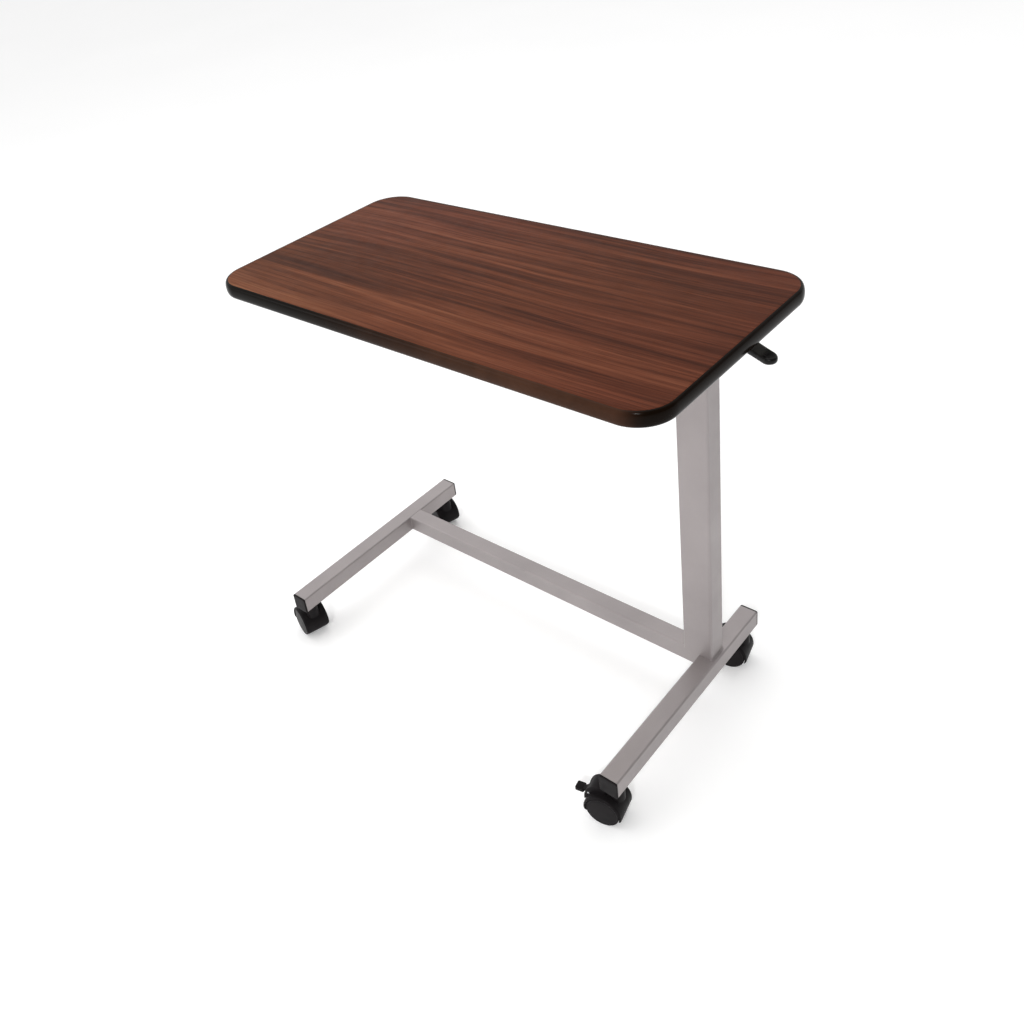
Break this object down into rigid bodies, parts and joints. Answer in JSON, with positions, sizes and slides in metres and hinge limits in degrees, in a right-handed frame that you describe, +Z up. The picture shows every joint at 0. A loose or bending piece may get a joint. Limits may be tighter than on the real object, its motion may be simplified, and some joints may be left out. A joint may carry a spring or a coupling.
{
  "type": "overbed table",
  "caption": "Rectangular laminated top on an off-centre height-adjustable mast with a release lever, over a low H-shaped base on swivelling twin-wheel casters.",
  "frame": {"origin": "middle of the footprint, on the floor under the casters", "axes": "+X along the top's long side towards the mast end, +Y across the top from the lever's side to the back, +Z up"},
  "size_m": [0.8312, 0.4258, 0.72],
  "materials": {
    "walnut_laminate": "red-brown walnut grain laminate, satin",
    "edge_band": "near-black brown vinyl, semi-gloss",
    "chipboard": "raw particle board",
    "backing_sheet": "plain off-white melamine",
    "silver_steel": "silver powder coat on steel tube, satin",
    "bright_steel": "bright zinc or chromium plate",
    "black_steel": "black paint, satin",
    "black_plastic": "black moulded plastic, satin",
    "grey_nylon": "plain grey nylon"
  },
  "bodies": {
    "base": {"leg_left": "silver_steel", "leg_right": "silver_steel", "crossbar": "silver_steel", "mast_outer": "silver_steel", "mast_collar": "black_plastic", "spring_foot": "black_plastic", "spring_cylinder": "black_steel", "end_plug_front_left": "black_plastic", "caster_stem_front_left": "bright_steel", "end_plug_back_left": "black_plastic", "caster_stem_back_left": "bright_steel", "end_plug_front_right": "black_plastic", "caster_stem_front_right": "bright_steel", "end_plug_back_right": "black_plastic", "caster_stem_back_right": "bright_steel"},
    "top": {"top_laminate": "walnut_laminate", "tabletop_core": "chipboard", "backing_sheet": "backing_sheet", "edge_band": "edge_band", "cross_channel": "silver_steel", "long_channel": "silver_steel", "mast_head_plate": "silver_steel", "top_screw_1": "bright_steel", "top_screw_2": "bright_steel", "top_screw_3": "bright_steel", "top_screw_4": "bright_steel", "top_screw_5": "bright_steel", "top_screw_6": "bright_steel", "lever_bracket": "silver_steel", "lever_pivot_pin": "bright_steel", "mast_inner": "silver_steel", "mast_glide_shoe": "grey_nylon", "spring_rod": "bright_steel"},
    "lever": {"lever_arm": "black_steel", "lever_grip": "black_plastic"},
    "release_pin": {"release_pin": "bright_steel"},
    "caster_front_left": {"caster_hood_front_left": "black_plastic", "caster_axle_front_left": "bright_steel"},
    "wheel_a_front_left": {"wheel_a_front_left": "black_plastic"},
    "wheel_b_front_left": {"wheel_b_front_left": "black_plastic"},
    "caster_back_left": {"caster_hood_back_left": "black_plastic", "caster_axle_back_left": "bright_steel"},
    "wheel_a_back_left": {"wheel_a_back_left": "black_plastic"},
    "wheel_b_back_left": {"wheel_b_back_left": "black_plastic"},
    "caster_front_right": {"caster_hood_front_right": "black_plastic", "caster_axle_front_right": "bright_steel", "brake_pin_front_right": "bright_steel"},
    "wheel_a_front_right": {"wheel_a_front_right": "black_plastic"},
    "wheel_b_front_right": {"wheel_b_front_right": "black_plastic"},
    "brake_front_right": {"brake_pedal_front_right": "black_plastic"},
    "caster_back_right": {"caster_hood_back_right": "black_plastic", "caster_axle_back_right": "bright_steel", "brake_pin_back_right": "bright_steel"},
    "wheel_a_back_right": {"wheel_a_back_right": "black_plastic"},
    "wheel_b_back_right": {"wheel_b_back_right": "black_plastic"},
    "brake_back_right": {"brake_pedal_back_right": "black_plastic"}
  },
  "joints": [
    {"name": "height_slide", "type": "slide", "parent": "base", "child": "top", "axis": [0, 0, 1], "range_m": [0, 0.43]},
    {"name": "lever_squeeze", "type": "hinge", "parent": "top", "child": "lever", "pos_m": [0.29579, 0.07614, 0.688], "axis": [-0.3746, -0.9272, 0], "range_deg": [0, 5.5], "stiffness_Nm_per_rad": 5, "springref_deg": -5.73},
    {"name": "release_pin_slide", "type": "slide", "parent": "top", "child": "release_pin", "axis": [0, 0, -1], "range_m": [0, 0.002]},
    {"name": "swivel_front_left", "type": "hinge", "parent": "base", "child": "caster_front_left", "pos_m": [-0.36525, -0.18137, 0.06], "axis": [0, 0, 1], "continuous": true},
    {"name": "roll_a_front_left", "type": "hinge", "parent": "caster_front_left", "child": "wheel_a_front_left", "pos_m": [-0.38159, -0.17668, 0.025], "axis": [0.2756, 0.9613, 0], "continuous": true},
    {"name": "roll_b_front_left", "type": "hinge", "parent": "caster_front_left", "child": "wheel_b_front_left", "pos_m": [-0.38159, -0.17668, 0.025], "axis": [0.2756, 0.9613, 0], "continuous": true},
    {"name": "swivel_back_left", "type": "hinge", "parent": "base", "child": "caster_back_left", "pos_m": [-0.36525, 0.17863, 0.06], "axis": [0, 0, 1], "continuous": true},
    {"name": "roll_a_back_left", "type": "hinge", "parent": "caster_back_left", "child": "wheel_a_back_left", "pos_m": [-0.38159, 0.18332, 0.025], "axis": [0.2756, 0.9613, 0], "continuous": true},
    {"name": "roll_b_back_left", "type": "hinge", "parent": "caster_back_left", "child": "wheel_b_back_left", "pos_m": [-0.38159, 0.18332, 0.025], "axis": [0.2756, 0.9613, 0], "continuous": true},
    {"name": "swivel_front_right", "type": "hinge", "parent": "base", "child": "caster_front_right", "pos_m": [0.29375, -0.18137, 0.06], "axis": [0, 0, 1], "continuous": true},
    {"name": "roll_a_front_right", "type": "hinge", "parent": "caster_front_right", "child": "wheel_a_front_right", "pos_m": [0.27712, -0.1849, 0.025], "axis": [-0.2079, 0.9781, 0], "continuous": true},
    {"name": "roll_b_front_right", "type": "hinge", "parent": "caster_front_right", "child": "wheel_b_front_right", "pos_m": [0.27712, -0.1849, 0.025], "axis": [-0.2079, 0.9781, 0], "continuous": true},
    {"name": "brake_front_right", "type": "hinge", "parent": "caster_front_right", "child": "brake_front_right", "pos_m": [0.25462, -0.18969, 0.046], "axis": [-0.2079, 0.9781, 0], "range_deg": [0, 25]},
    {"name": "swivel_back_right", "type": "hinge", "parent": "base", "child": "caster_back_right", "pos_m": [0.29375, 0.17863, 0.06], "axis": [0, 0, 1], "continuous": true},
    {"name": "roll_a_back_right", "type": "hinge", "parent": "caster_back_right", "child": "wheel_a_back_right", "pos_m": [0.27712, 0.1751, 0.025], "axis": [-0.2079, 0.9781, 0], "continuous": true},
    {"name": "roll_b_back_right", "type": "hinge", "parent": "caster_back_right", "child": "wheel_b_back_right", "pos_m": [0.27712, 0.1751, 0.025], "axis": [-0.2079, 0.9781, 0], "continuous": true},
    {"name": "brake_back_right", "type": "hinge", "parent": "caster_back_right", "child": "brake_back_right", "pos_m": [0.25462, 0.17031, 0.046], "axis": [-0.2079, 0.9781, 0], "range_deg": [0, 25]}
  ],
  "couplings": [
    {"joint": "release_pin_slide", "follows": "lever_squeeze", "m_per_rad": 0.02}
  ]
}
